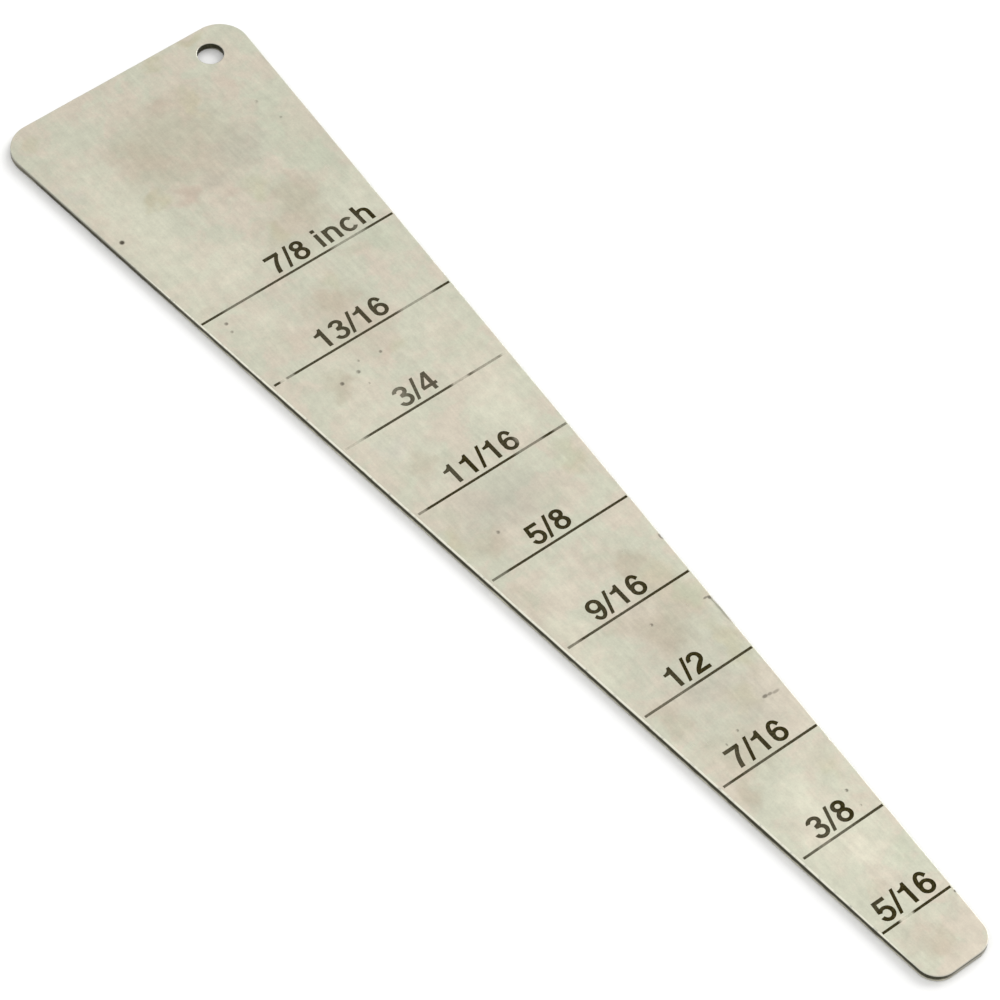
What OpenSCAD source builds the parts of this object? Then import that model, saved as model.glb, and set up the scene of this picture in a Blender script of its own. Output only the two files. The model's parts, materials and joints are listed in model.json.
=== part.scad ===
// Tapered steel feeler gauge, marked in sixteenths of an inch.
// The blade narrows by one sixteenth from each line to the next, so the line that is
// level with the mouth of a gap gives the gap's width.
// Frame: origin at the middle of the underside, +Z up through the marked face,
// +Y along the blade to its wide end, +X across it to the side of the hanging hole.

/* [Blade] */
// Thickness of the sheet
blade_t = 0.8; // [0.5:0.05:1.5]
// Distance from the widest line to the wide end
head_len = 28.9; // [20:0.1:40]
// Distance from the narrowest line to the narrow end
tail_len = 6.35; // [5:0.05:8]
// Radius of the two corners at the wide end
wide_corner_r = 3; // [1:0.1:5]
// Radius of the two corners at the narrow end
narrow_corner_r = 2.1; // [0.5:0.1:2.4]

/* [Hanging hole] */
// Diameter of the hole
hole_d = 2.54; // [1.5:0.02:4]
// Distance from the hole's centre to the wide end
hole_from_end = 3.1; // [3:0.1:6]
// Distance from the hole's centre to the blade's centre line
hole_off_centre = 9.1; // [0:0.1:9.5]

/* [Scale] */
// Distance from one line to the next
line_pitch = 9.525; // [8:0.025:12]
// Width of a line
line_w = 0.26; // [0.15:0.01:0.4]
// Bare strip between a line's left end and the edge of the blade
line_gap_left = 0.5; // [0.2:0.05:1]
// The same strip on the widest and the narrowest line, which run closer to the edge
line_gap_outer = 0.2; // [0.15:0.05:1]
// Bare strip between a line's right end and the edge of the blade
line_gap_right = 0.15; // [0.15:0.05:1]
// Depth of the etched recesses, which the black fill fills flush
mark_depth = 0.04; // [0.02:0.01:0.1]

/* [Lettering] */
// Type size of the labels
em = 3.175; // [2.6:0.025:3.2]
// Height of the labels' feet above the middle of their line
label_lift = 0.54; // [0.4:0.02:0.8]
// Distance of the labels' middle from the blade's centre line
label_shift = 0.1; // [-0.2:0.05:0.2]

/* [Hidden] */
INCH = 25.4;
PARTS = 16; // parts of an inch that the scale counts
SIXTEENTH = INCH / PARTS;
WIDEST = 14; // sixteenths of an inch at the widest line
NARROWEST = 5; // and at the narrowest
READINGS = [WIDEST : -1 : NARROWEST];
ARC_STEPS = 24;
OVERRUN = 1; // how far a cut runs past the face that it opens
STEEL = [0.76, 0.75, 0.70];
BLACK = [0.14, 0.13, 0.11];

scale_len = line_pitch * (WIDEST - NARROWEST);
blade_len = head_len + scale_len + tail_len;
taper = SIXTEENTH / line_pitch;
y_wide = blade_len / 2;
y_narrow = -blade_len / 2;
y_widest_line = y_wide - head_len;

// ---- readings: n counts sixteenths of an inch ----

// The largest number that divides both a and b
function common(a, b) = b == 0 ? a : common(b, a % b);
function top_number(n) = n / common(n, PARTS);
function bottom_number(n) = PARTS / common(n, PARTS);
function size_name(n) = str(top_number(n), "_", bottom_number(n));
function size_text(n) = str(top_number(n), "/", bottom_number(n));
function line_y(n) = y_widest_line - (WIDEST - n) * line_pitch;
function half_width(y) = (WIDEST * SIXTEENTH + (y - y_widest_line) * taper) / 2;

// ---- plane geometry ----

// The point at angle a on an ellipse of half axes r about c
function arc_point(c, r, a) = c + [r[0] * cos(a), r[1] * sin(a)];

// Points along that ellipse from angle a0 to a1
function arc(c, r, a0, a1, steps = ARC_STEPS) = [
    for (i = [0 : steps]) arc_point(c, r, a0 + (a1 - a0) * i / steps)
];

// Points along a curve from p to q that heads for the point via
function bend(p, via, q, steps = 10) = [
    for (i = [0 : steps])
        let (t = i / steps)
        (1 - t) * (1 - t) * p + 2 * t * (1 - t) * via + t * t * q
];

function unit(v) = v / norm(v);

// Points of an arc of radius r that rounds the corner at p, between its neighbours a and b.
// The corners run anticlockwise.
function rounded_corner(a, p, b, r) =
    let (
        to_a = unit(a - p),
        to_b = unit(b - p),
        half_angle = acos(to_a * to_b) / 2,
        centre = p + unit(to_a + to_b) * r / sin(half_angle),
        start = atan2(to_a[0], -to_a[1]),
        sweep = 180 - 2 * half_angle
    )
    arc(centre, [r, r], start, start + sweep);

module blade_outline() {
    corners = [
        [half_width(y_narrow), y_narrow],
        [half_width(y_wide), y_wide],
        [-half_width(y_wide), y_wide],
        [-half_width(y_narrow), y_narrow]
    ];
    radii = [narrow_corner_r, wide_corner_r, wide_corner_r, narrow_corner_r];
    polygon([
        for (i = [0 : 3])
            each rounded_corner(corners[(i + 3) % 4], corners[i], corners[(i + 1) % 4], radii[i])
    ]);
}

// ---- lettering: upright block figures, drawn in units of the type size ----

DIGIT_H = 0.71;
STEM = 0.135; // width of upright strokes
BAR = 0.112; // width of level strokes
DIP = 0.019; // round figures reach this far below the foot line
X_HEIGHT = 0.532;

function advance(ch) =
    ch == "/" || ch == "i" || ch == " " ? 0.278 :
    ch == "n" || ch == "h" ? 0.611 :
    0.556;

function text_width(s, count) = count == 0 ? 0 : text_width(s, count - 1) + advance(s[count - 1]);

// A curved stroke between an ellipse and the smaller ellipse inside it
module band(c, r, a0, a1) {
    inner = r - [STEM, BAR];
    polygon(concat(arc(c, r, a0, a1), arc(c, inner, a1, a0)));
}

module oval(c, r) {
    step = 360 / ARC_STEPS;
    polygon(arc(c, r, 0, 360 - step, ARC_STEPS - 1));
}

module ring(c, r) {
    difference() {
        oval(c, r);
        oval(c, r - [STEM, BAR]);
    }
}

module box(x0, x1, y0, y1) {
    translate([x0, y0]) square([x1 - x0, y1 - y0]);
}

module one() {
    polygon(concat(
        [[0.243, 0], [0.378, 0], [0.378, DIGIT_H], [0.285, DIGIT_H]],
        bend([0.275, 0.68], [0.235, 0.58], [0.069, 0.575], 6),
        [[0.069, 0.485], [0.243, 0.485]]
    ));
}

module two() {
    bowl = [0.268, 0.478];
    bowl_r = [0.242, 0.232];
    tail_a = -40; // where the bowl runs into the diagonal
    band(bowl, bowl_r, tail_a, 182);
    polygon(concat(
        [[0.026, 0], [0.511, 0], [0.511, 0.122]],
        bend([0.215, 0.122], [0.398, 0.267], arc_point(bowl, bowl_r, tail_a)),
        [[0.47, 0.365], [0.37, 0.415]],
        bend(arc_point(bowl, bowl_r - [STEM, BAR], tail_a), [0.06, 0.21], [0.026, 0.04])
    ));
}

module three() {
    band([0.262, 0.525], [0.226, 0.185], -90, 172);
    band([0.268, 0.197], [0.248, 0.216], -172, 90);
    polygon([[0.198, 0.322], [0.262, 0.301], [0.3, 0.301], [0.3, 0.452], [0.262, 0.452], [0.198, 0.425]]);
}

module four() {
    difference() {
        polygon([
            [0.315, 0], [0.445, 0], [0.445, 0.15], [0.526, 0.15], [0.526, 0.26], [0.445, 0.26],
            [0.445, DIGIT_H], [0.31, DIGIT_H], [0.027, 0.275], [0.027, 0.15], [0.315, 0.15]
        ]);
        polygon([[0.315, 0.26], [0.315, 0.535], [0.135, 0.26]]);
    }
}

module five() {
    box(0.088, 0.488, 0.582, 0.698);
    polygon([[0.088, 0.69], [0.043, 0.325], [0.165, 0.29], [0.2, 0.6], [0.2, 0.69]]);
    band([0.266, 0.221], [0.25, 0.24], -170, 145);
}

module six() {
    ring([0.276, 0.213], [0.246, 0.232]);
    band([0.276, 0.345], [0.246, 0.365], 30, 205);
}

module seven() {
    polygon(concat(
        [[0.025, 0.698], [0.528, 0.698]],
        bend([0.528, 0.59], [0.32, 0.36], [0.275, 0]),
        bend([0.13, 0], [0.175, 0.33], [0.37, 0.578]),
        [[0.025, 0.578]]
    ));
}

module eight() {
    ring([0.278, 0.523], [0.216, 0.187]);
    ring([0.278, 0.203], [0.246, 0.222]);
}

module nine() {
    translate([0.552, DIGIT_H - DIP]) rotate(180) six();
}

module slash() {
    polygon([[-0.033, -DIP], [0.075, -DIP], [0.311, 0.737], [0.203, 0.737]]);
}

module letter_i() {
    box(0.07, 0.205, 0, X_HEIGHT);
    box(0.07, 0.205, 0.604, 0.725);
}

// Letters n and h: an upright of the given height, and an arch
module arched_letter(upright_h) {
    box(0.065, 0.2, 0, upright_h);
    box(0.41, 0.545, 0, 0.34);
    band([0.305, 0.33], [0.24, 0.216], 0, 155);
}

module letter_c() {
    band([0.29, 0.266], [0.256, 0.28], 38, 322);
}

module glyph(ch) {
    if (ch == "1") one();
    if (ch == "2") two();
    if (ch == "3") three();
    if (ch == "4") four();
    if (ch == "5") five();
    if (ch == "6") six();
    if (ch == "7") seven();
    if (ch == "8") eight();
    if (ch == "9") nine();
    if (ch == "/") slash();
    if (ch == "i") letter_i();
    if (ch == "n") arched_letter(X_HEIGHT);
    if (ch == "c") letter_c();
    if (ch == "h") arched_letter(0.718);
}

module lettering(s) {
    for (k = [0 : len(s) - 1])
        translate([text_width(s, k), 0]) glyph(s[k]);
}

// ---- marks: solids from the floor of their recess up to the blade's face, or past it ----

module graduation_mark(n, height) {
    y = line_y(n);
    gap = n == WIDEST || n == NARROWEST ? line_gap_outer : line_gap_left;
    left = -half_width(y) + gap;
    right = half_width(y) - line_gap_right;
    translate([left, y - line_w / 2, blade_t - mark_depth]) cube([right - left, line_w, height]);
}

// The figures are centred over their line. The widest line's unit follows them.
module label_mark(n, height) {
    figures = size_text(n);
    left = label_shift - em * text_width(figures, len(figures)) / 2;
    translate([left, line_y(n) + label_lift, blade_t - mark_depth])
        scale(em)
            linear_extrude(height / em)
                lettering(n == WIDEST ? str(figures, " inch") : figures);
}

// ---- sub-parts ----

module blade() {
    color(STEEL) difference() {
        linear_extrude(blade_t) blade_outline();
        translate([hole_off_centre, y_wide - hole_from_end, -OVERRUN])
            cylinder(d = hole_d, h = blade_t + 2 * OVERRUN, $fn = 48);
        for (n = READINGS) graduation_mark(n, mark_depth + OVERRUN);
        for (n = READINGS) label_mark(n, mark_depth + OVERRUN);
    }
}

module graduation(n) {
    color(BLACK) graduation_mark(n, mark_depth);
}

module label(n) {
    color(BLACK) label_mark(n, mark_depth);
}

blade();
for (n = READINGS) graduation(n);
for (n = READINGS) label(n);
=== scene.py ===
"""Looks of a tapered steel feeler gauge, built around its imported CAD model.

The blade is remade with worn edges, pits and recesses for its marks. The black marks stay as
they are in CAD and get a worn fill. Lengths in this file are in millimetres unless a name says
otherwise, and meshes are turned into metres as they are made. Places on the blade are given from
the middle of its widest line: x across the blade, y along it towards the wide end.
"""

import json
import math

import bmesh
import bpy
from mathutils import Matrix, Vector, geometry, noise


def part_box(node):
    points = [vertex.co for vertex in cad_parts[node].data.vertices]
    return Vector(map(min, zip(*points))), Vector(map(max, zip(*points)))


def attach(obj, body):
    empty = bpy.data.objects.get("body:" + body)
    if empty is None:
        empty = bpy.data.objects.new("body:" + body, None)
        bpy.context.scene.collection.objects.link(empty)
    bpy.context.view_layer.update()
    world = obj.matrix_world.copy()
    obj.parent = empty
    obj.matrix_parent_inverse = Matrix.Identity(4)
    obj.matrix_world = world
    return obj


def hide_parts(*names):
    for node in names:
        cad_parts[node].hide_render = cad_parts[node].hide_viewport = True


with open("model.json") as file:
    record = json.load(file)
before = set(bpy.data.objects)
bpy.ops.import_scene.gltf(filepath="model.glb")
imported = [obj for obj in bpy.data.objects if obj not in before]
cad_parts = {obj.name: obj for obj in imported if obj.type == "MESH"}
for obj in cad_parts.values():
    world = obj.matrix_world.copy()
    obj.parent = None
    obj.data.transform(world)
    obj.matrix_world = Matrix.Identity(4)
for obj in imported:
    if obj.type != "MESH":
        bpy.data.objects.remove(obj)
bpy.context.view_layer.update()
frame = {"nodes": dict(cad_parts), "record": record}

MM = 0.001  # metres in a millimetre
INCH = 25.4  # millimetres in an inch

# ---- what the frame says ----

SIZES = ["7_8", "13_16", "3_4", "11_16", "5_8", "9_16", "1_2", "7_16", "3_8", "5_16"]
WIDEST, NARROWEST = SIZES[0], SIZES[-1]


def box_mm(node):
    low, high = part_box(node)
    return low / MM, high / MM


def line_y(size):
    """How far along the blade the middle of a line is, in the frame."""
    low, high = box_mm("graduation_" + size)
    return (low.y + high.y) / 2


def width_at_line(size):
    """The blade is as wide at a line as the line's label says."""
    top_number, bottom_number = size.split("_")
    return INCH * int(top_number) / int(bottom_number)


BLADE_LOW, BLADE_HIGH = box_mm("blade")
FACE_Z = BLADE_HIGH.z
BACK_Z = BLADE_LOW.z
MIDDLE_Z = (FACE_Z + BACK_Z) / 2
RECESS_Z = box_mm("graduation_" + WIDEST)[0].z
SCALE_Y = line_y(WIDEST)  # the places in this file's tables count from here
SLOPE = (width_at_line(WIDEST) - width_at_line(NARROWEST)) / (SCALE_Y - line_y(NARROWEST)) / 2
HALF_WIDEST = width_at_line(WIDEST) / 2
HOLE = next(m for m in frame["record"]["mounts"] if m["name"] == "hanging_hole")
HOLE_CENTRE = Vector(HOLE["pos_m"][:2]) / MM
HOLE_R = HOLE["dims"]["r_mm"]


def half_width(y):
    return HALF_WIDEST + (y - SCALE_Y) * SLOPE


def on_blade(x, y):
    """The place in the frame of a point given from the middle of the widest line."""
    return Vector((x, y + SCALE_Y))


# ---- shape of the blade ----

WIDE_CORNER_R = 3.0
NARROW_CORNER_R = 2.1
EDGE_STEP = 0.25  # spacing of the points round the outline
CORNER_EXTRA_STEPS = 4  # more points than that round each corner
HOLE_STEPS = 72

ARRIS_R = 0.06  # rounding of the edges
ARRIS_WAVE = 0.02  # how much that rounding varies, either way
ARRIS_STEPS = 5
EDGE_WEAR = 0.012  # how far the worn edge lies inside the CAD outline
EDGE_WAVE = 0.008  # its slow wandering, either way
EDGE_ROUGHNESS = 0.003  # its quick wandering, either way
WALL_ROUGHNESS = 0.006  # how much deeper the wall is worn between its arrises, on average
WALL_ROWS = ((0.3, 3), (0.6, 4))  # how far down the wall each row of points is, and its seed

# The top left edge is rubbed rounder along its middle: y, rounding
LEFT_RUB = [(-90, 0.06), (-85, 0.15), (-76, 0.23), (-12, 0.23), (0, 0.15), (12, 0.06)]

# Dents in the top edge: side (1 right, -1 left), y, length, depth
NICKS = [
    (1, -43.3, 0.7, 0.12),
    (1, -51.4, 1.6, 0.10),
    (1, -86.3, 0.4, 0.10),
    (1, -7.0, 0.5, 0.04),
    (1, 15.0, 0.6, 0.04),
    (-1, -22.0, 0.5, 0.04),
    (-1, 5.5, 0.4, 0.03),
    (-1, -58.0, 0.6, 0.04),
    (1, -68.5, 0.5, 0.05),
]

# Pits in the marked face: x, y, radius, darkness
PITS = [
    (-11.07, 12.1, 0.24, 0.95),
    (-9.05, -1.25, 0.18, 0.65),
    (-9.2, -2.3, 0.16, 0.45),
    (-4.8, -13.0, 0.20, 0.70),
    (-2.8, -12.8, 0.20, 0.60),
    (-2.05, -11.8, 0.14, 0.40),
    (-2.8, -14.4, 0.14, 0.30),
    (0.2, -12.15, 0.16, 0.60),
    (-3.8, -34.3, 0.18, 0.55),
    (0.7, -50.1, 0.16, 0.55),
    (3.1, -73.25, 0.16, 0.65),
    (3.1, -75.1, 0.12, 0.35),
    (-0.4, -63.0, 0.14, 0.50),
    (9.0, 18.4, 0.18, 0.28),
    (9.7, 15.5, 0.14, 0.35),
]

# The same in the back
BACK_PITS = [
    (-6.0, 20.5, 0.20, 0.6),
    (3.5, 8.0, 0.16, 0.5),
    (-2.0, -7.5, 0.22, 0.7),
    (5.5, -20.0, 0.15, 0.5),
    (1.0, -39.0, 0.20, 0.6),
    (-3.0, -55.5, 0.15, 0.5),
    (0.8, -79.0, 0.18, 0.6),
]
PIT_DEPTH = 0.12  # of a pit's radius, at its middle
PIT_RINGS = 3  # rings of points in a pit
PIT_STEPS = 14  # points in a ring


def anticlockwise(loop):
    area = sum(a.x * b.y - a.y * b.x for a, b in zip(loop, loop[1:] + loop[:1]))
    return loop if area > 0 else loop[::-1]


def arc(centre, radius, start, sweep, steps):
    """Places and outward directions along an arc."""
    angles = [start + sweep * i / steps for i in range(steps + 1)]
    ways = [Vector((math.cos(a), math.sin(a))) for a in angles]
    return [(centre + way * radius, way) for way in ways]


def outline_stations():
    """Places round the blade's outline and the outward direction at each, anticlockwise."""
    corners = []
    for side, y, radius in (
        (1, BLADE_LOW.y, NARROW_CORNER_R),
        (1, BLADE_HIGH.y, WIDE_CORNER_R),
        (-1, BLADE_HIGH.y, WIDE_CORNER_R),
        (-1, BLADE_LOW.y, NARROW_CORNER_R),
    ):
        corners.append((Vector((side * half_width(y), y)), radius))
    arcs = []
    for i, (corner, radius) in enumerate(corners):
        to_last = (corners[i - 1][0] - corner).normalized()
        to_next = (corners[(i + 1) % len(corners)][0] - corner).normalized()
        half_angle = to_last.angle(to_next) / 2
        centre = corner + (to_last + to_next).normalized() * radius / math.sin(half_angle)
        start = math.atan2(to_last.x, -to_last.y)
        sweep = math.pi - 2 * half_angle
        steps = round(radius * sweep / EDGE_STEP) + CORNER_EXTRA_STEPS
        arcs.append(arc(centre, radius, start, sweep, steps))
    stations = []
    for i, stretch in enumerate(arcs):
        stations += stretch
        (last, way), (first, _) = stretch[-1], arcs[(i + 1) % len(arcs)][0]
        steps = round((first - last).length / EDGE_STEP)
        stations += [(last.lerp(first, k / steps), way) for k in range(1, steps)]
    return stations


def hole_stations():
    """The same for the hole, where outward is towards its middle."""
    ring = arc(HOLE_CENTRE, HOLE_R, 0, math.tau * (1 - 1 / HOLE_STEPS), HOLE_STEPS - 1)
    return [(place, -way) for place, way in ring]


def nick_depth(place):
    """How much deeper the top edge is worn at a place on the outline."""
    depth = 0
    for side, y, length, most in NICKS:
        away = (place.y - SCALE_Y - y) / (length / 2)
        if place.x * side > 0 and abs(away) < 1:
            depth += most * (1 - away * away) ** 2
    return depth


def left_arris(y):
    """Rounding of the top left edge at a distance y along the blade."""
    for (y0, r0), (y1, r1) in zip(LEFT_RUB, LEFT_RUB[1:]):
        if y0 <= y < y1:
            return r0 + (r1 - r0) * (y - y0) / (y1 - y0)
    return ARRIS_R


def wander(place, size, seed):
    """Smooth noise from -1 to 1 along an edge, with features of the given size."""
    return noise.noise(Vector((place.x / size, place.y / size, seed)))


def edge_profile(place, way, arris_r, back_arris_r):
    """Points down the edge at one station, from the marked face to the back."""
    worn = EDGE_WEAR + EDGE_WAVE * wander(place, 2.5, 1) + EDGE_ROUGHNESS * wander(place, 0.4, 2)
    points = []
    for k in range(ARRIS_STEPS + 1):
        turn = math.pi / 2 * k / ARRIS_STEPS
        inset = worn + arris_r * (1 - math.sin(turn))
        points.append((place - way * inset, FACE_Z - arris_r * (1 - math.cos(turn))))
    wall_top, wall_foot = FACE_Z - arris_r, BACK_Z + back_arris_r
    for part, seed in WALL_ROWS:
        rough = worn + WALL_ROUGHNESS * (1 + wander(place, 0.5, seed))
        points.append((place - way * rough, wall_top + (wall_foot - wall_top) * part))
    for k in range(ARRIS_STEPS + 1):
        turn = math.pi / 2 * (1 - k / ARRIS_STEPS)
        inset = worn + back_arris_r * (1 - math.sin(turn))
        points.append((place - way * inset, BACK_Z + back_arris_r * (1 - math.cos(turn))))
    return points


def outline_profiles():
    profiles = []
    for place, way in outline_stations():
        faces_left = way.x < -0.9
        arris_r = left_arris(place.y - SCALE_Y) if faces_left else ARRIS_R
        arris_r += ARRIS_WAVE * wander(place, 3.0, 5) + nick_depth(place)
        back_arris_r = ARRIS_R + ARRIS_WAVE * wander(place, 3.0, 6)
        profiles.append(edge_profile(place, way, arris_r, back_arris_r))
    return profiles


def hole_profiles():
    return [edge_profile(place, way, ARRIS_R, ARRIS_R) for place, way in hole_stations()]


FLUSH = 0.001  # a mark's top is no further than this from the face
SAME_PLACE_DIGITS = 4  # corners that agree in these digits are one corner


def mark_loops(node):
    """The outlines of a mark's top faces: the edges that only one of those faces has."""
    mesh = frame["nodes"][node].data
    corners = [v.co / MM for v in mesh.vertices]
    flat = [(round(c.x, SAME_PLACE_DIGITS), round(c.y, SAME_PLACE_DIGITS)) for c in corners]
    follows = {}
    for polygon in mesh.polygons:
        if all(abs(corners[v].z - FACE_Z) < FLUSH for v in polygon.vertices):
            ring = [flat[v] for v in polygon.vertices]
            for a, b in zip(ring, ring[1:] + ring[:1]):
                follows.setdefault(a, []).append(b)
    border = {a: b for a in follows for b in follows[a] if a not in follows[b]}
    loops = []
    while border:
        start, at = border.popitem()
        loop = [Vector(start)]
        while at != start:
            loop.append(Vector(at))
            at = border.pop(at)
        loops.append(loop)
    return loops


class BladeMesh:
    """Collects the blade's vertices and faces."""

    FACE, ARRIS, CUT = 0, 1, 2  # material slots
    HOLE_OUTLINE = 1  # where it stands in a side's outlines: the blade's, the hole's, the marks'
    INSIDE_ONLY = 1  # has the triangulation leave out what is beyond the outlines
    MERGE_WITHIN = 1e-5  # points closer than this are one

    def __init__(self):
        self.vertices = []
        self.faces = []
        self.slots = []
        self.smooth = []

    def vertex(self, place, z):
        self.vertices.append((place.x * MM, place.y * MM, z * MM))
        return len(self.vertices) - 1

    def face(self, corners, slot, smooth=False):
        self.faces.append(corners)
        self.slots.append(slot)
        self.smooth.append(smooth)

    def rings(self, profiles):
        """Adds the vertices of an edge and gives them back ring by ring, from face to back."""
        columns = [[self.vertex(place, z) for place, z in points] for points in profiles]
        return [list(ring) for ring in zip(*columns)]

    def bridge(self, rings):
        """Joins the rings of an edge: rounded arrises with a cut wall between them."""
        for k, (upper, lower) in enumerate(zip(rings, rings[1:])):
            wall = ARRIS_STEPS <= k < len(rings) - 1 - ARRIS_STEPS
            for i in range(len(upper)):
                j = (i + 1) % len(upper)
                corners = (upper[i], lower[i], lower[j], upper[j])
                self.face(corners, self.CUT if wall else self.ARRIS, smooth=True)

    def cap(self, rings, z, pits, loops=()):
        """Fills one side of the blade, with its pits, and sinks the insides of the loops.

        Points on the rings keep the rings' vertices, so the side joins the edges without a seam.
        """
        points = []
        owners = []
        outlines = []
        for ring in rings:
            outlines.append([len(points) + i for i in range(len(ring))])
            points += [Vector(self.vertices[v][:2]) / MM for v in ring]
            owners += ring
        for loop in loops:
            outlines.append([len(points) + i for i in range(len(loop))])
            points += anticlockwise(loop)
            owners += [None] * len(loop)
        for x, y, radius, _ in pits:
            centre = on_blade(x, y)
            points.append(centre)
            for k in range(1, PIT_RINGS + 1):
                steps = arc(centre, radius * k / PIT_RINGS, 0, math.tau, PIT_STEPS)[:-1]
                points += [place for place, _ in steps]
        settings = (self.INSIDE_ONLY, self.MERGE_WITHIN)
        found = geometry.delaunay_2d_cdt(points, [], outlines, *settings)
        places, _, triangles, sources, _, holders = found
        inward = -1 if z == FACE_Z else 1
        upper = []
        for place, source in zip(places, sources):
            owner = next((owners[s] for s in source if s < len(owners)), None)
            if owner is None:
                owner = self.vertex(place, z + inward * pit_depth(place, pits))
            upper.append(owner)
        self.fill(places, triangles, holders, upper)

    def fill(self, places, triangles, holders, upper):
        """Adds the triangles of a side: flat steel, or the floor and walls of a recess.

        A triangle is sunk when it is inside an odd number of the marks' outlines, so the steel
        inside a closed figure stays at the face.
        """
        lower = {}
        border = {}
        for triangle, inside in zip(triangles, holders):
            if self.HOLE_OUTLINE in inside:
                continue
            marks_round_it = sum(1 for holder in inside if holder > self.HOLE_OUTLINE)
            if marks_round_it % 2 == 1:
                for i in triangle:
                    if i not in lower:
                        lower[i] = self.vertex(places[i], RECESS_Z)
                self.face([lower[i] for i in triangle], self.FACE)
                for a, b in zip(triangle, triangle[1:] + triangle[:1]):
                    border[a, b] = True
            else:
                self.face([upper[i] for i in triangle], self.FACE)
        for a, b in border:
            if (b, a) not in border:
                self.face((lower[a], lower[b], upper[b], upper[a]), self.FACE)

    def build(self, name):
        mesh = bpy.data.meshes.new(name)
        mesh.from_pydata(self.vertices, [], self.faces)
        mesh.polygons.foreach_set("material_index", self.slots)
        mesh.polygons.foreach_set("use_smooth", self.smooth)
        work = bmesh.new()
        work.from_mesh(mesh)
        bmesh.ops.recalc_face_normals(work, faces=work.faces)
        work.to_mesh(mesh)
        work.free()
        return mesh


def pit_depth(place, pits):
    """Depth of the pit at a place, 0 where there's none."""
    for x, y, radius, _ in pits:
        away = (place - on_blade(x, y)).length / radius
        if away < 1:
            return PIT_DEPTH * radius * (1 - away * away) ** 2
    return 0


def make_blade():
    shape = BladeMesh()
    edge = shape.rings(outline_profiles())
    hole = shape.rings(hole_profiles())
    shape.bridge(edge)
    shape.bridge(hole)
    marks = []
    for size in SIZES:
        marks += mark_loops("graduation_" + size)
        marks += mark_loops("label_" + size)
    shape.cap([edge[0], hole[0]], FACE_Z, PITS, marks)
    shape.cap([edge[-1], hole[-1]], BACK_Z, BACK_PITS)
    blade = bpy.data.objects.new("blade_body", shape.build("blade_body"))
    bpy.context.scene.collection.objects.link(blade)
    for material in (face_steel(), arris_steel(), cut_edge()):
        blade.data.materials.append(material)
    return blade


# ---- materials ----


class Graph:
    """Builds a tree of shader nodes. Each call adds nodes and gives back an output socket."""

    def __init__(self, tree):
        self.tree = tree

    def node(self, kind, inputs, **settings):
        made = self.tree.nodes.new("ShaderNode" + kind)
        for name, value in settings.items():
            setattr(made, name, value)
        for name, value in inputs.items():
            if isinstance(value, bpy.types.NodeSocket):
                self.tree.links.new(value, made.inputs[name])
            else:
                made.inputs[name].default_value = value
        return made

    def vector(self, operation, a, b=(0, 0, 0), **inputs):
        made = self.node("VectorMath", {0: a, 1: b, **inputs}, operation=operation)
        return made.outputs["Value" if operation == "LENGTH" else "Vector"]

    def math(self, operation, a, b=0.0, c=0.0, clamp=False):
        made = self.node("Math", {0: a, 1: b, 2: c}, operation=operation, use_clamp=clamp)
        return made.outputs[0]

    def times(self, a, b):
        return self.math("MULTIPLY", a, b)

    def vary(self, value, amount):
        """A factor that swings by half the amount either side of 1 as value goes from 0 to 1."""
        return self.math("MULTIPLY_ADD", value, amount, 1.0 - amount / 2)

    def part(self, point, axis):
        return self.node("SeparateXYZ", {0: point}).outputs[axis]

    def noise(self, point, scale, detail=2.0, rough=0.5):
        """Noise from 0 to 1, with features about 1 / scale wide."""
        return self.noise_node(point, scale, detail, rough).outputs[0]

    def noise_node(self, point, scale, detail, rough):
        inputs = {"Vector": point, "Scale": scale, "Detail": detail, "Roughness": rough}
        return self.node("TexNoise", inputs)

    def stretched_noise(self, point, scales, detail, rough):
        """Noise with a scale of its own for each axis, for streaks."""
        return self.noise(self.vector("MULTIPLY", point, scales), 1.0, detail, rough)

    def fade(self, value, zero, one):
        """0 where value is at zero and 1 where it is at one, smooth in between."""
        inputs = {"Value": value, "From Min": zero, "From Max": one}
        return self.node("MapRange", inputs, interpolation_type="SMOOTHSTEP").outputs[0]

    def blend(self, amount, under, over):
        """Colour under at amount 0 and colour over at 1."""
        made = self.node("Mix", {}, data_type="RGBA")
        factor, a, b = (s for s in made.inputs if s.enabled)
        for socket, value in ((factor, amount), (a, under), (b, over)):
            if isinstance(value, bpy.types.NodeSocket):
                self.tree.links.new(value, socket)
            else:
                socket.default_value = value if isinstance(value, float) else (*value, 1)
        return next(s for s in made.outputs if s.enabled)

    def spot(self, point, x, y, rx, ry, soft=0.6):
        """1 inside an ellipse on the blade, fading to 0 over the outer part of it."""
        away = self.vector("SUBTRACT", point, (x, y, 0))
        reach = self.vector("LENGTH", self.vector("MULTIPLY", away, (1 / rx, 1 / ry, 0)))
        return self.fade(reach, 1.0, 1.0 - soft)


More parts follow.
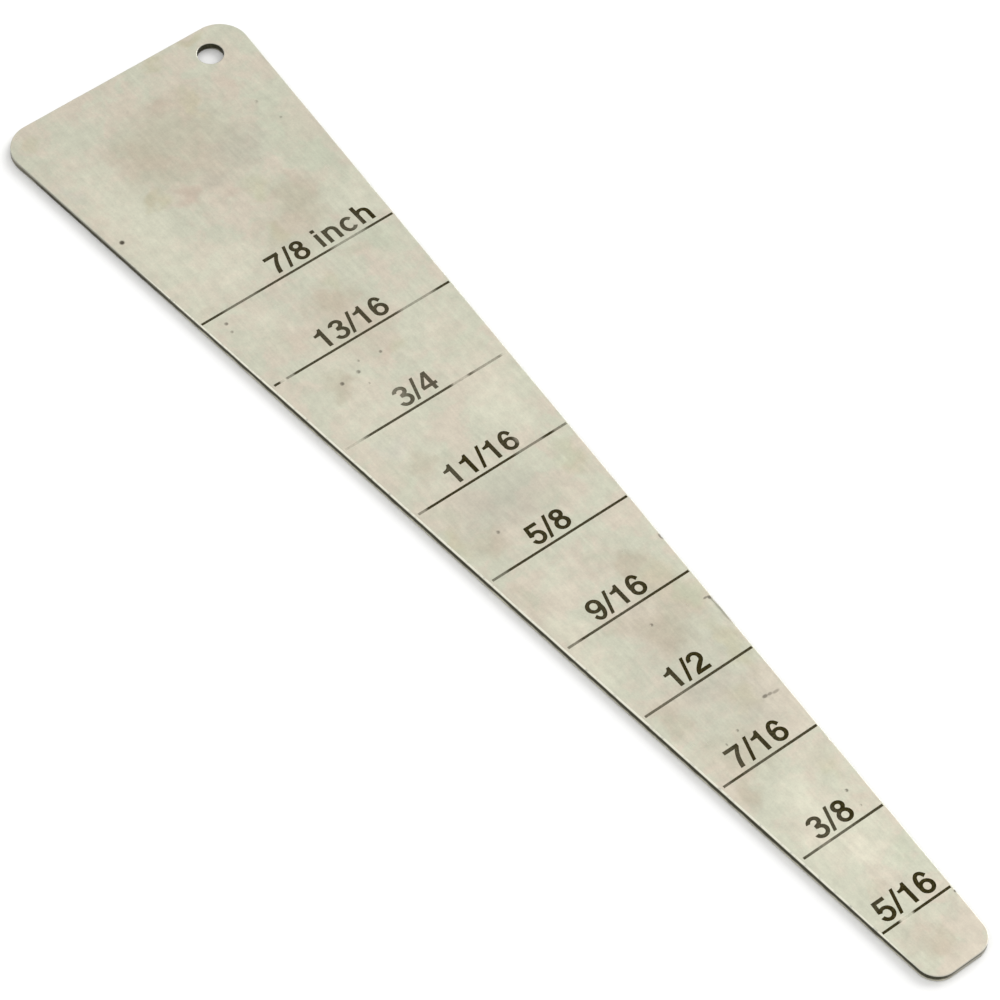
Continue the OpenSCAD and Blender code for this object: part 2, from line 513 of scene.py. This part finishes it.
class Finish(Graph):
    """A material with one metallic shader. Its colour and roughness hold until they are plugged."""

    def __init__(self, name, colour, roughness):
        self.material = bpy.data.materials.new(name)
        self.material.use_nodes = True
        super().__init__(self.material.node_tree)
        self.shader = self.tree.nodes["Principled BSDF"]
        self.shader.inputs["Base Color"].default_value = (*colour, 1)
        self.shader.inputs["Roughness"].default_value = roughness
        self.shader.inputs["Metallic"].default_value = 1

    def plug(self, name, value):
        self.tree.links.new(value, self.shader.inputs[name])

    def place(self):
        """The point on the blade, in millimetres from the middle of the widest line."""
        point = self.node("TexCoord", {}).outputs["Object"]
        scaled = self.vector("SCALE", point, Scale=1 / MM)
        return self.vector("SUBTRACT", scaled, (0, SCALE_Y, 0))

    def steel(self, place):
        return self.node("Group", {0: place}, node_tree=STEEL).outputs[0]

    def bump(self, height, distance, strength):
        """Small relief. The distance, in millimetres, is how far a height of 1 stands out."""
        inputs = {"Height": height, "Distance": distance * MM, "Strength": strength}
        self.plug("Normal", self.node("Bump", inputs).outputs[0])


# Colours of the mottled steel, and of the stains on it
GREENISH = (0.559, 0.559, 0.449)
PINKISH = (0.604, 0.547, 0.449)
TINTS = {
    "brown": (0.455, 0.400, 0.302),
    "red": (0.519, 0.415, 0.335),
    "olive": (0.496, 0.467, 0.316),
    "green": (0.480, 0.520, 0.397),
    "grey": (0.445, 0.430, 0.354),
    "lilac": (0.557, 0.535, 0.470),
    "light": (0.690, 0.670, 0.540),
}
SMEAR_COLOUR = (0.060, 0.050, 0.035)

# Colours of the edges
# Bright arris: partly rubbed steel, partly a painted highlight where the left edge catches the
# light
RUBBED_AND_HIGHLIGHT = (0.820, 0.800, 0.680)  # bright arris
DULLED = (0.430, 0.435, 0.390)  # arris that is still stained
SCALE_DARK = (0.046, 0.043, 0.024)  # scale that the cut left
SCALE_WORN = (0.105, 0.098, 0.062)
# Pale foot of the sides: partly burnished steel, partly a painted reflection of the floor; also
# painted sheen round the wide left corner
BURNISH_AND_REFLECTION = (0.690, 0.665, 0.550)  # pale foot of the sides
# Side of the narrow end, lighter than the long sides and paler at its foot: partly linished steel,
# partly painted light for how that side faces the light and the floor
END_TOP = (0.150, 0.140, 0.112)  # side of the narrow end
END_FOOT = (0.430, 0.410, 0.350)

# Colours of the marks' fill
FILL = (0.018, 0.014, 0.003)
FILL_RUBBED = (0.054, 0.044, 0.014)

# Stains on the marked face: tint, strength, x, y, reach across, reach along
STAINS = [
    ("light", 0.45, -9.0, 12.0, 4.5, 15.0),
    ("light", 0.40, -5.0, 4.0, 5.0, 4.5),
    ("green", 0.35, 9.5, 12.0, 3.5, 10.0),
    ("brown", 0.42, 0.0, 18.5, 9.5, 9.0),
    ("light", 0.30, 9.5, 4.0, 3.5, 4.0),
    ("red", 0.45, 1.5, 23.5, 2.6, 2.0),
    ("brown", 0.35, -4.0, 19.0, 3.5, 4.0),
    ("grey", 0.40, 4.5, 15.0, 3.6, 3.0),
    ("olive", 0.50, -5.5, 14.3, 1.8, 1.4),
    ("red", 0.50, -2.8, 12.6, 1.5, 1.6),
    ("grey", 0.35, 0.5, 13.3, 2.2, 1.6),
    ("olive", 0.45, 4.0, 22.0, 1.3, 2.6),
    ("olive", 0.45, 2.8, 10.0, 1.6, 2.2),
    ("red", 0.30, 0.5, 10.7, 2.0, 1.4),
    ("brown", 0.50, 5.3, 6.8, 3.6, 4.4),
    ("brown", 0.30, 2.6, 4.4, 4.6, 4.6),
    ("olive", 0.40, 1.2, 4.5, 1.5, 1.5),
    ("light", 0.30, -10.0, 1.0, 2.6, 5.0),
    ("light", 0.35, -6.6, -3.8, 3.0, 5.0),
    ("red", 0.25, 8.5, 21.5, 1.8, 2.0),
    ("red", 0.20, -10.8, 15.5, 1.4, 2.0),
    ("olive", 0.50, 8.4, 27.9, 2.2, 1.0),
    ("olive", 0.45, 4.2, 27.9, 1.8, 1.1),
    ("olive", 0.35, -11.0, 26.6, 1.3, 1.3),
    ("lilac", 0.35, -11.5, 19.8, 1.0, 2.2),
    ("red", 0.20, -9.4, 1.2, 2.0, 1.4),
    ("light", 0.30, -4.5, -17.0, 6.0, 16.0),
    ("light", 0.25, 5.5, -17.0, 5.0, 14.0),
    ("green", 0.30, -6.5, -6.0, 2.2, 2.6),
    ("green", 0.30, 6.5, -15.5, 2.4, 3.4),
    ("brown", 0.50, 0.2, -4.7, 3.4, 2.2),
    ("brown", 0.30, 0.0, -8.0, 4.6, 5.4),
    ("red", 0.25, -4.8, -7.2, 2.6, 1.8),
    ("brown", 0.25, 5.5, -1.2, 2.6, 1.2),
    ("green", 0.35, 8.0, -2.0, 2.2, 2.2),
    ("olive", 0.30, 1.6, -3.0, 1.3, 1.5),
    ("brown", 0.50, -5.2, -13.0, 1.9, 2.4),
    ("olive", 0.35, 1.9, -12.7, 1.6, 1.3),
    ("red", 0.30, 0.3, -12.6, 1.4, 1.4),
    ("light", 0.45, 5.0, -23.5, 4.0, 5.0),
    ("lilac", 0.40, -5.5, -21.3, 2.6, 1.4),
    ("brown", 0.40, -4.7, -24.5, 1.8, 2.6),
    ("green", 0.30, -7.0, -24.5, 1.4, 2.6),
    ("green", 0.30, -2.0, -26.0, 2.4, 2.4),
    ("green", 0.35, -6.6, -29.8, 1.8, 2.2),
    ("grey", 0.50, -1.5, -32.0, 7.0, 4.6),
    ("green", 0.30, 2.5, -34.0, 2.4, 2.0),
    ("brown", 0.45, -5.0, -35.0, 2.6, 2.6),
    ("olive", 0.45, -7.2, -33.0, 1.6, 2.4),
    ("olive", 0.45, 6.6, -31.8, 1.8, 2.8),
    ("green", 0.45, 6.4, -30.6, 1.6, 2.6),
    ("brown", 0.25, -6.2, -41.5, 1.6, 3.0),
    ("light", 0.35, -3.2, -42.0, 2.2, 3.0),
    ("brown", 0.55, 3.6, -43.7, 2.2, 2.6),
    ("olive", 0.40, 4.8, -46.5, 2.4, 2.4),
    ("green", 0.30, -6.2, -46.2, 1.8, 2.6),
    ("light", 0.35, -5.4, -46.2, 2.6, 3.6),
    ("green", 0.40, 1.6, -41.5, 1.6, 2.0),
    ("grey", 0.30, 1.5, -56.5, 8.0, 12.0),
    ("brown", 0.35, 3.6, -49.0, 3.2, 5.0),
    ("brown", 0.35, -1.4, -65.0, 4.6, 3.8),
    ("grey", 0.30, 2.4, -62.0, 3.0, 3.0),
    ("brown", 0.50, 1.0, -51.5, 3.2, 4.0),
    ("olive", 0.45, 5.5, -49.5, 1.8, 2.4),
    ("green", 0.50, 5.6, -49.2, 1.6, 2.2),
    ("olive", 0.45, 5.0, -56.0, 1.4, 4.5),
    ("brown", 0.30, -1.5, -48.6, 2.0, 1.4),
    ("light", 0.45, -6.0, -50.5, 1.9, 3.6),
    ("grey", 0.45, 0.4, -58.0, 3.4, 2.4),
    ("brown", 0.40, -4.0, -59.0, 2.0, 3.2),
    ("olive", 0.35, 2.2, -60.8, 2.2, 2.0),
    ("brown", 0.50, -4.0, -68.4, 1.7, 2.2),
    ("light", 0.35, 0.0, -76.0, 6.0, 7.0),
    ("light", 0.45, -0.8, -71.3, 2.4, 3.4),
    ("green", 0.30, 3.2, -69.5, 1.8, 2.0),
    ("olive", 0.30, 3.6, -70.8, 1.3, 1.8),
    ("red", 0.25, 3.2, -74.6, 1.4, 1.6),
    ("light", 0.40, 0.4, -79.0, 2.8, 2.6),
    ("green", 0.35, 3.0, -80.6, 1.3, 2.4),
    ("brown", 0.30, -1.4, -82.0, 1.8, 1.2),
    ("brown", 0.50, -0.6, -89.2, 2.8, 2.2),
    ("red", 0.25, -0.8, -88.2, 3.2, 3.2),
    ("grey", 0.30, 2.6, -87.6, 1.4, 1.2),
]

# Dark smears on the marked face: strength, x, y, reach across, reach along
SMEARS = [
    (0.65, 3.78, -61.74, 0.36, 0.24),
    (0.50, 4.28, -61.80, 0.34, 0.20),
    (0.42, 4.85, -61.92, 0.50, 0.20),
    (0.60, 6.30, -50.72, 0.30, 0.16),
    (0.70, 6.60, -50.88, 0.22, 0.28),
    (0.50, 6.74, -51.30, 0.26, 0.60),
    (0.42, 6.66, -52.20, 0.24, 0.90),
    (0.32, 6.56, -53.40, 0.22, 1.20),
    (0.75, 7.42, -43.30, 0.24, 0.50),
    (0.80, 3.88, -86.30, 0.22, 0.22),
    (0.45, -2.05, -63.55, 0.12, 0.22),
]

HIDDEN_SIDE = 7.0  # moves the mottling of the back away from the marked face's
TURNOVER = 0.1  # either side of the sheet's middle, where one face's looks give way to the other's
STAIN_RAGGED = 4.0  # how far, end to end, noise shifts the outlines of stains and mottling
HALO = 1.4  # reach of the stain round a pit, in terms of the pit's radius


def steel_colour():
    """Satin steel: greenish and pinkish mottling, stains, a fine grain along the blade."""
    tree = bpy.data.node_groups.new("steel_colour", "ShaderNodeTree")
    tree.interface.new_socket("Place", in_out="INPUT", socket_type="NodeSocketVector")
    tree.interface.new_socket("Color", in_out="OUTPUT", socket_type="NodeSocketColor")
    graph = Graph(tree)
    place = tree.nodes.new("NodeGroupInput").outputs[0]
    shifted = graph.vector("MULTIPLY", place, (1, 1, HIDDEN_SIDE))
    drift = graph.noise_node(shifted, 0.5, detail=3.0, rough=0.5).outputs["Color"]
    centred = graph.vector("SUBTRACT", drift, (0.5, 0.5, 0.5))
    loose = graph.vector("ADD", shifted, graph.vector("SCALE", centred, Scale=STAIN_RAGGED))
    patches = graph.noise(loose, 0.28, detail=3.0, rough=0.6)
    colour = graph.blend(graph.fade(patches, 0.38, 0.62), GREENISH, PINKISH)
    front = graph.fade(graph.part(place, 2), MIDDLE_Z - TURNOVER, MIDDLE_Z + TURNOVER)
    for tint, strength, x, y, across, along in STAINS:
        spot = graph.spot(loose, x, y, across, along, soft=0.8)
        amount = graph.times(spot, graph.times(front, strength))
        colour = graph.blend(amount, colour, TINTS[tint])
    clouds = graph.noise(shifted, 0.9, detail=4.0, rough=0.6)
    grain = graph.stretched_noise(shifted, (3.2, 0.35, 1), detail=3.0, rough=0.6)
    fine = graph.noise(shifted, 6.0, detail=2.0, rough=0.6)
    tone = graph.vary(clouds, 0.30)
    tone = graph.times(tone, graph.vary(grain, 0.22))
    tone = graph.times(tone, graph.vary(fine, 0.20))
    toned = graph.vector("SCALE", colour, Scale=tone)
    tree.links.new(toned, tree.nodes.new("NodeGroupOutput").inputs[0])
    return tree


STEEL = steel_colour()


def add_specks(graph, place, colour):
    """Darkens the pits and the smears of the marked face, and the pits of the back."""
    height = graph.part(place, 2)
    front = graph.fade(height, MIDDLE_Z - TURNOVER, MIDDLE_Z + TURNOVER)
    back = graph.fade(height, MIDDLE_Z + TURNOVER, MIDDLE_Z - TURNOVER)
    specks = [(front, *smear) for smear in SMEARS]
    for side, pits in ((front, PITS), (back, BACK_PITS)):
        specks += [(side, dark, x, y, HALO * r, HALO * r) for x, y, r, dark in pits]
    for side, strength, x, y, across, along in specks:
        spot = graph.spot(place, x, y, across, along)
        amount = graph.times(spot, graph.times(side, strength))
        colour = graph.blend(amount, colour, SMEAR_COLOUR)
    return colour


def satin_grain(graph, place):
    """Height of the fine scratches that the sheet's finishing left along the blade."""
    broad = graph.stretched_noise(place, (5, 0.25, 5), detail=3.0, rough=0.7)
    thin = graph.stretched_noise(place, (14, 0.5, 14), detail=2.0, rough=0.6)
    return graph.math("ADD", broad, graph.times(thin, 0.6))


def face_steel():
    """Both faces and the recesses: stained satin steel, shinier in some places than in others."""
    graph = Finish("face_steel", GREENISH, 0.31)
    place = graph.place()
    graph.plug("Base Color", add_specks(graph, place, graph.steel(place)))
    blotches = graph.noise(place, 0.7, detail=3.0)
    graph.plug("Roughness", graph.math("MULTIPLY_ADD", blotches, 0.14, 0.24))
    graph.bump(satin_grain(graph, place), 0.004, 0.5)
    return graph.material


def arris_steel():
    """Top of the edges: bright on the left, partly rubbed steel and partly a painted highlight,
    still stained elsewhere, dark lower down.
    """
    graph = Finish("arris_steel", RUBBED_AND_HIGHLIGHT, 0.32)
    place = graph.place()
    across, along, height = (graph.part(place, axis) for axis in range(3))
    colour = graph.blend(0.6, graph.steel(place), DULLED)
    # Painted highlight, in part: the rubbed patches are drawn bright only along the left arris,
    # short of both ends, where that edge catches the light
    rub_and_highlight = graph.fade(graph.noise(place, 1.6, detail=3.0, rough=0.6), 0.25, 0.5)
    on_left = graph.fade(across, 2.0, -2.0)
    past_narrow_end = graph.fade(along, -92.0, -86.0)
    short_of_wide_end = graph.fade(along, 14.0, 2.0)
    for limit in (on_left, past_narrow_end, short_of_wide_end):
        rub_and_highlight = graph.times(rub_and_highlight, limit)
    colour = add_specks(graph, place, graph.blend(rub_and_highlight, colour, RUBBED_AND_HIGHLIGHT))
    low = graph.fade(height, FACE_Z - 0.04, FACE_Z - 0.12)
    graph.plug("Base Color", graph.blend(low, colour, SCALE_DARK))
    graph.bump(graph.noise(place, 7.0, detail=2.0), 0.01, 0.4)
    return graph.material


def cut_edge():
    """Sides of the sheet and of the hole: dark scale above a pale foot, partly burnished steel and
    partly a painted reflection of the floor.

    Near the wide end the left side is paler along its top, with painted sheen round its corner, and
    its pale foot is lower, as it is in the hole. The side of the narrow end is grey and paler at
    its foot, partly linished steel and partly painted light for how it faces the light and the
    floor.
    """
    graph = Finish("cut_edge", SCALE_DARK, 0.5)
    place = graph.place()
    across, along, height = (graph.part(place, axis) for axis in range(3))  # height from the back
    streaks = graph.stretched_noise(place, (5, 5, 0.8), detail=4.0, rough=0.65)
    colour = graph.blend(graph.fade(streaks, 0.45, 0.75), SCALE_DARK, SCALE_WORN)

    # Near the wide end the left side is drawn paler along its top; round the corner the paler
    # colour is painted sheen, for the light that turn of the side catches
    wide_left = graph.times(graph.fade(along, -6.0, 16.0), graph.fade(across, -6.0, -10.0))
    top = graph.times(graph.fade(height, 0.42, 0.60), wide_left)
    corner = graph.times(graph.fade(along, 20.0, 28.0), wide_left)
    colour = graph.blend(graph.times(top, 0.40), colour, BURNISH_AND_REFLECTION)
    colour = graph.blend(graph.times(corner, 0.25), colour, BURNISH_AND_REFLECTION)

    round_hole = 2.4  # takes in the hole's side and no other
    hole = (HOLE_CENTRE.x, HOLE_CENTRE.y - SCALE_Y)
    in_hole = graph.spot(place, *hole, round_hole, round_hole, soft=0.3)
    lower_foot = graph.times(graph.math("MAXIMUM", wide_left, in_hole), 0.17)
    # The pale foot: partly burnished steel, partly a painted reflection of the floor in the lower
    # side
    wave = graph.noise(place, 0.7, detail=4.0, rough=0.6)
    level = graph.math("MULTIPLY_ADD", wave, 0.36, graph.math("ADD", height, lower_foot))
    colour = graph.blend(graph.fade(level, 0.56, 0.30), colour, BURNISH_AND_REFLECTION)

    # Painted light, in part: the narrow end's side is drawn grey, paler towards its foot, for how
    # it faces the light and the floor; the rest is linished steel
    low_end = BLADE_LOW.y - SCALE_Y
    end = graph.times(graph.fade(along, low_end + 0.9, low_end + 0.2), 0.9)
    end = graph.times(end, graph.fade(across, -2.6, -0.8))
    end_colour = graph.blend(graph.fade(height, 0.6, 0.3), END_TOP, END_FOOT)
    graph.plug("Base Color", graph.blend(end, colour, end_colour))
    graph.plug("Roughness", graph.math("MULTIPLY_ADD", streaks, 0.25, 0.35))
    graph.bump(streaks, 0.03, 0.6)
    return graph.material


LONG = 3.0  # reach along of wear that crosses a line altogether

# Where a mark's fill is worn: amount, x, y from its line, reach across, reach along
WORN = {
    "graduation_7_8": [
        (0.065, 0.0, 0, 14.0, LONG),
        (0.40, 5.9, 0, 2.4, LONG),
        (0.18, -6.5, 0, 2.4, LONG),
    ],
    "graduation_13_16": [
        (0.055, 0.0, 0, 13.0, LONG),
        (0.75, -8.8, 0, 0.45, LONG),
        (0.35, -8.1, 0, 0.7, LONG),
        (0.42, 6.4, 0, 2.6, LONG),
    ],
    "graduation_3_4": [
        (0.07, 0.0, 0, 12.0, LONG),
        (0.72, -9.3, 0, 3.2, LONG),
        (0.60, 4.0, 0, 1.2, LONG),
        (0.42, 7.0, 0, 2.1, LONG),
        (0.90, 9.6, 0, 1.2, LONG),
    ],
    "graduation_11_16": [
        (0.02, 0.0, 0, 11.0, LONG),
        (0.30, 4.4, 0, 2.0, LONG),
        (0.30, 8.0, 0, 1.2, LONG),
        (0.38, -8.2, 0, 1.2, LONG),
    ],
    "graduation_5_8": [(0.035, 0.0, 0, 10.0, LONG), (0.24, -7.2, 0, 1.9, LONG)],
    "graduation_9_16": [
        (0.03, 0.0, 0, 9.0, LONG),
        (0.26, -6.6, 0, 1.8, LONG),
        (0.06, -1.5, 0, 4.0, LONG),
    ],
    "graduation_1_2": [(0.18, -4.0, 0, 4.6, LONG), (0.055, 2.0, 0, 5.0, LONG)],
    "graduation_7_16": [
        (0.045, 0.0, 0, 8.0, LONG),
        (0.11, -5.2, 0, 1.4, LONG),
        (0.07, -1.0, 0, 2.4, LONG),
    ],
    "graduation_3_8": [
        (0.045, 0.0, 0, 7.0, LONG),
        (0.10, -1.3, 0, 3.6, LONG),
        (0.10, -1.9, 0, 0.9, LONG),
    ],
    "graduation_5_16": [(0.012, 0.0, 0, 6.0, LONG), (0.80, -1.08, 0, 0.95, LONG)],
    "label_7_8": [
        (0.03, -1.0, 1.5, 4.0, 3.0),
        (0.07, 5.5, 1.5, 3.8, 2.6),
        (0.10, 7.4, 1.2, 0.9, 1.2),
    ],
    "label_13_16": [(0.06, 0.0, 1.5, 6.0, 3.0)],
    "label_3_4": [(0.11, 0.0, 1.6, 4.0, 3.0), (0.12, -1.7, 2.1, 1.2, 1.6)],
    "label_11_16": [
        (0.07, -3.2, 1.3, 1.2, 2.2),
        (0.03, 2.6, 1.5, 2.0, 2.0),
        (0.25, 4.2, 1.2, 0.7, 1.1),
    ],
    "label_5_8": [(0.01, 0.0, 1.6, 3.0, 3.0)],
    "label_9_16": [(0.03, -0.5, 1.6, 4.0, 3.0)],
    "label_1_2": [(0.04, -1.8, 1.4, 1.4, 2.4)],
    "label_7_16": [(0.07, -2.6, 1.7, 1.5, 2.2), (0.02, 0.6, 1.6, 2.0, 2.4)],
    "label_3_8": [(0.06, -0.6, 1.6, 2.4, 2.8)],
    "label_5_16": [(0.04, -2.4, 2.5, 1.3, 0.9)],
}


def worn_fill(node, size):
    """Matt black fill with thin spots, worn through to the steel where WORN says."""
    graph = Finish("fill_" + node, FILL, 0.6)
    place = graph.place()
    on_line = graph.vector("SUBTRACT", place, (0, line_y(size) - SCALE_Y, 0))
    crumbs = graph.noise(place, 5.0, detail=4.0, rough=0.7)
    thin = graph.times(graph.fade(crumbs, 0.55, 0.8), 0.06)
    for amount, x, y, across, along in WORN[node]:
        spot = graph.spot(on_line, x, y, across, along, soft=0.5)
        ragged = graph.times(spot, graph.vary(crumbs, 0.9))
        thin = graph.math("MULTIPLY_ADD", ragged, amount, thin, clamp=True)
    black = graph.blend(graph.fade(crumbs, 0.35, 0.7), FILL, FILL_RUBBED)
    graph.plug("Base Color", graph.blend(thin, black, graph.steel(place)))
    graph.plug("Roughness", graph.math("MULTIPLY_ADD", thin, -0.2, 0.6))
    graph.bump(crumbs, 0.01, 0.5)
    return graph.material


# ---- stage ----

FLOOR_GAP = 0.02  # keeps the floor clear of the blade's back
FLOOR_REACH = 1500.0  # half its side
FLOOR_WHITE = (0.90, 0.90, 0.89)

# The photograph's camera, fitted to the ends of the ten lines. Its angles are in degrees.
CAMERA_AZIMUTH = -41.26
CAMERA_ELEVATION = 54.05
CAMERA_ROLL = 3.43
CAMERA_DISTANCE = 413.3
CAMERA_AIM = (-1.48, -0.08)  # on the marked face
LENS = 168.1
SENSOR_WIDTH = 36.0
CLIP_METRES = (0.01, 10)


def add_floor():
    z = (BACK_Z - FLOOR_GAP) * MM
    reach = FLOOR_REACH * MM
    mesh = bpy.data.meshes.new("floor")
    corners = [(-reach, -reach, z), (reach, -reach, z), (reach, reach, z), (-reach, reach, z)]
    mesh.from_pydata(corners, [], [(0, 1, 2, 3)])
    graph = Finish("floor_white", FLOOR_WHITE, 0.9)
    graph.shader.inputs["Metallic"].default_value = 0
    graph.shader.inputs["Specular IOR Level"].default_value = 0.2
    mesh.materials.append(graph.material)
    floor = bpy.data.objects.new("floor", mesh)
    bpy.context.scene.collection.objects.link(floor)


def facing(back):
    """A rotation that looks along -back, level with the floor."""
    right = Vector((0, 0, 1)).cross(back).normalized()
    return Matrix((right, back.cross(right), back)).transposed()


def direction(azimuth, elevation):
    """The way from the blade to something that many degrees round and above the floor."""
    a, e = math.radians(azimuth), math.radians(elevation)
    return Vector((math.sin(a) * math.cos(e), -math.cos(a) * math.cos(e), math.sin(e)))


def add_camera():
    back = direction(CAMERA_AZIMUTH, CAMERA_ELEVATION)
    data = bpy.data.cameras.new("camera")
    data.lens = LENS
    data.sensor_width = SENSOR_WIDTH
    data.clip_start, data.clip_end = CLIP_METRES
    camera = bpy.data.objects.new("camera", data)
    turn = facing(back) @ Matrix.Rotation(math.radians(CAMERA_ROLL), 3, "Z")
    camera.rotation_euler = turn.to_euler()
    camera.location = (Vector((*CAMERA_AIM, FACE_Z)) + back * CAMERA_DISTANCE) * MM
    bpy.context.scene.collection.objects.link(camera)
    bpy.context.scene.camera = camera


def add_soft_light(name, azimuth, elevation, spread, strength):
    """Light from a far, round patch as many degrees wide as spread, even over the whole blade."""
    data = bpy.data.lights.new(name, "SUN")
    data.angle = math.radians(spread)
    data.energy = strength
    light = bpy.data.objects.new(name, data)
    light.rotation_euler = facing(direction(azimuth, elevation)).to_euler()
    bpy.context.scene.collection.objects.link(light)


def add_world(horizon, zenith):
    """A white surround that brightens upwards."""
    world = bpy.data.worlds.new("surround")
    world.use_nodes = True
    graph = Graph(world.node_tree)
    height = graph.part(graph.node("TexCoord", {}).outputs["Generated"], 2)
    background = world.node_tree.nodes["Background"]
    background.inputs["Color"].default_value = (1, 1, 1, 1)
    strength = graph.math("MULTIPLY_ADD", height, zenith - horizon, horizon)
    world.node_tree.links.new(strength, background.inputs["Strength"])
    bpy.context.scene.world = world


# ---- the scene ----

add_camera()
add_floor()
add_world(horizon=0.98, zenith=1.0)
add_soft_light("key", azimuth=96, elevation=28, spread=50, strength=1.8)
bpy.context.scene.view_settings.view_transform = "Standard"

blade = make_blade()
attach(blade, "root")
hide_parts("blade")

for size in SIZES:
    for kind in ("graduation_", "label_"):
        fill = worn_fill(kind + size, size)
        slots = frame["nodes"][kind + size].data.materials
        for i in range(len(slots)):
            slots[i] = fill
